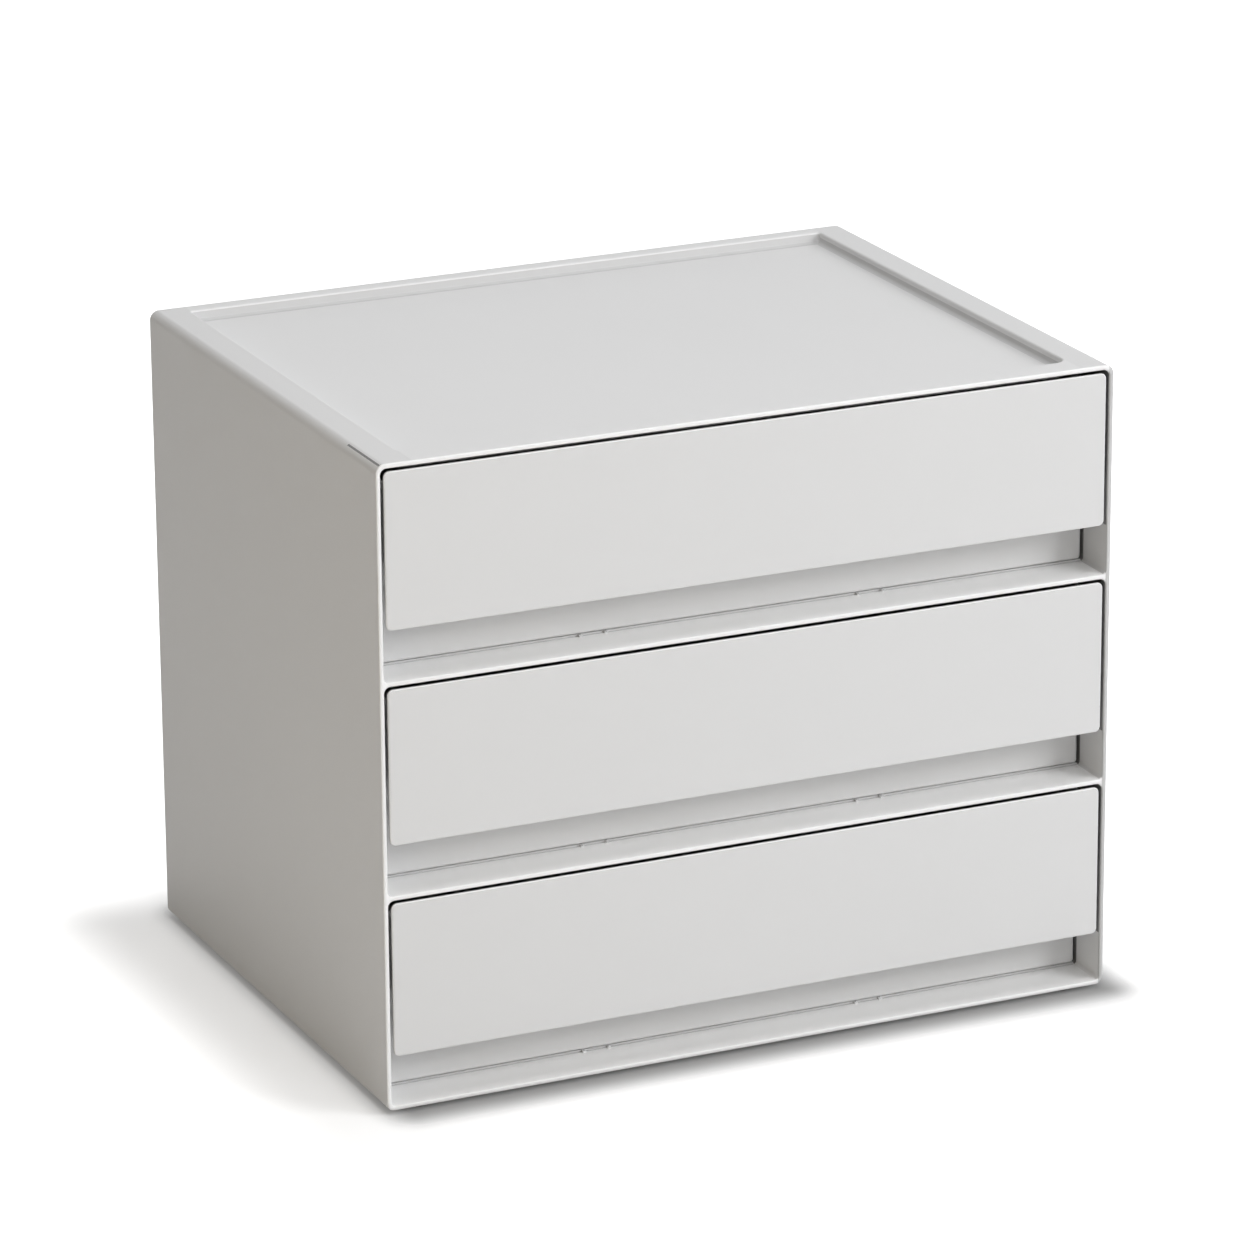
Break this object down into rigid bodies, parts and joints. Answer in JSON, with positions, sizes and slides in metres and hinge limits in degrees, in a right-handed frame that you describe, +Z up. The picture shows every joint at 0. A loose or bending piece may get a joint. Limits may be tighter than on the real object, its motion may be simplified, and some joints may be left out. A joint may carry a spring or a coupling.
{
  "type": "desktop drawer organizer",
  "caption": "Light grey moulded desktop organizer with a rounded case, a shallow tray on top and flat-fronted sliding drawers that are pulled by a finger gap below each front.",
  "frame": {"origin": "on the surface the organizer stands on, under the middle of the case", "axes": "+X to the right and -Y to the front as seen by the user, so drawers open along -Y; +Z up"},
  "size_m": [0.32, 0.244, 0.268],
  "materials": {
    "case": "fine satin moulded polystyrene",
    "drawer_fronts": "fine satin moulded polystyrene",
    "drawer_tubs": "plain satin moulded polystyrene",
    "feet": "matte black elastomer",
    "screws": "zinc plated"
  },
  "bodies": {
    "case": {"case_shell": "case", "back_panel": "case", "foot_front_left": "feet", "foot_front_right": "feet", "foot_rear_left": "feet", "foot_rear_right": "feet"},
    "drawer_bottom": {"drawer_tub_bottom": "drawer_tubs", "drawer_front_bottom": "drawer_fronts", "front_screws_bottom": "screws"},
    "drawer_middle": {"drawer_tub_middle": "drawer_tubs", "drawer_front_middle": "drawer_fronts", "front_screws_middle": "screws"},
    "drawer_top": {"drawer_tub_top": "drawer_tubs", "drawer_front_top": "drawer_fronts", "front_screws_top": "screws"}
  },
  "joints": [
    {"name": "drawer_bottom_slide", "type": "slide", "parent": "case", "child": "drawer_bottom", "axis": [0, -1, 0], "range_m": [0, 0.15]},
    {"name": "drawer_middle_slide", "type": "slide", "parent": "case", "child": "drawer_middle", "axis": [0, -1, 0], "range_m": [0, 0.15]},
    {"name": "drawer_top_slide", "type": "slide", "parent": "case", "child": "drawer_top", "axis": [0, -1, 0], "range_m": [0, 0.15]}
  ]
}
